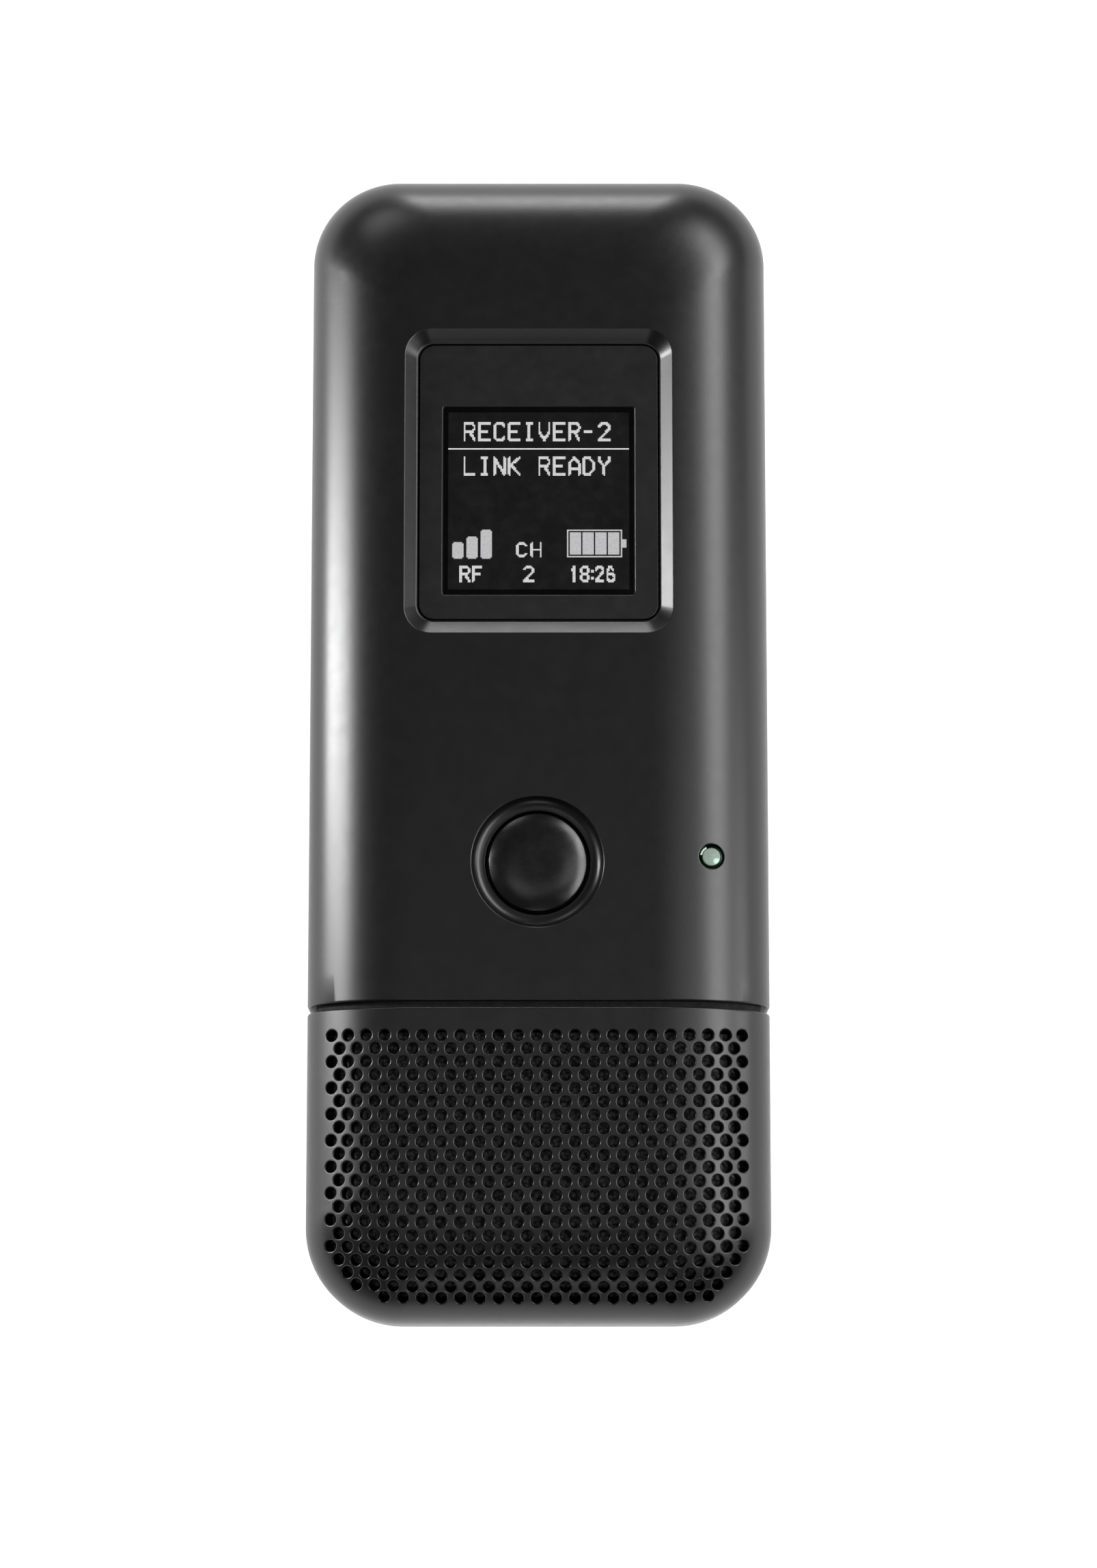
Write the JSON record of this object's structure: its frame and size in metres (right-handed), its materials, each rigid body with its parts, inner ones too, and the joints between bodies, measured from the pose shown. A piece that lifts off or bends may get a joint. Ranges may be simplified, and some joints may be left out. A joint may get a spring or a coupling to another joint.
{
  "type": "wireless bodypack audio unit",
  "caption": "Slim rounded battery-powered wireless audio unit worn on a belt, with a display, a round push button, a status light, a perforated microphone end and a sprung belt clip.",
  "frame": {"origin": "under the middle of the case, on the plane of the clip's outer face, which is the part's lowest plane", "axes": "+X across the width, +Y along the length towards the display end, +Z out of the front face with the display and button"},
  "size_m": [0.0444, 0.112, 0.0281],
  "materials": {
    "case_plastic": "satin black, fine texture",
    "cap_plastic": "satin black, perforated",
    "bezel_plastic": "smooth satin dark grey",
    "button_plastic": "semi-gloss black",
    "inner_plastic": "matte black",
    "clip_plastic": "satin black",
    "window": "clear, gloss",
    "display_panel": "black glass",
    "light_pipe": "clear, faintly green",
    "rubber": "matte",
    "foam": "open-cell foam",
    "board": "green solder mask",
    "chip": "matte black epoxy",
    "ribbon": "amber film",
    "battery_film": "dark blue wrap",
    "led": "translucent pale green",
    "steel": "bright steel",
    "black_steel": "black oxide",
    "tinned": "bright plated",
    "copper_alloy": "bright"
  },
  "bodies": {
    "case": {"front_shell": "case_plastic", "rear_shell": "case_plastic", "grille_cap": "cap_plastic", "seam_gasket": "rubber", "grille_carrier": "inner_plastic", "foam_windscreen": "foam", "display_bezel": "bezel_plastic", "display_window": "window", "display_gasket": "rubber", "oled_panel": "display_panel", "display_ribbon": "ribbon", "switch_body": "tinned", "light_pipe": "light_pipe", "status_led": "led", "main_board": "board", "rf_shield": "tinned", "radio_chip": "chip", "audio_chip": "chip", "power_chip": "chip", "processor": "chip", "antenna_strip": "copper_alloy", "battery_pack": "battery_film", "battery_ribbon": "ribbon", "usb_shell": "tinned", "usb_tongue": "inner_plastic", "audio_jack": "inner_plastic", "mic_boot": "rubber", "mic_capsule": "tinned", "mic_ribbon": "ribbon", "case_screw_1": "black_steel", "case_screw_2": "black_steel", "case_screw_3": "black_steel", "case_screw_4": "black_steel", "clip_bracket": "clip_plastic", "clip_screw_1": "black_steel", "clip_screw_2": "black_steel", "hinge_pin": "steel", "clip_spring": "steel"},
    "button": {"push_button": "button_plastic", "switch_plunger": "inner_plastic"},
    "clip": {"belt_clip": "clip_plastic", "clip_pad": "rubber"}
  },
  "joints": [
    {"name": "button_press", "type": "slide", "parent": "case", "child": "button", "axis": [0, 0, -1], "range_m": [0, 0.0005], "stiffness_N_per_m": 3000, "springref_m": -0.0003},
    {"name": "clip_open", "type": "hinge", "parent": "case", "child": "clip", "pos_m": [0, -0.014, 0.0032], "axis": [-1, 0, 0], "range_deg": [0, 12], "stiffness_Nm_per_rad": 0.6, "springref_deg": -14.32}
  ]
}
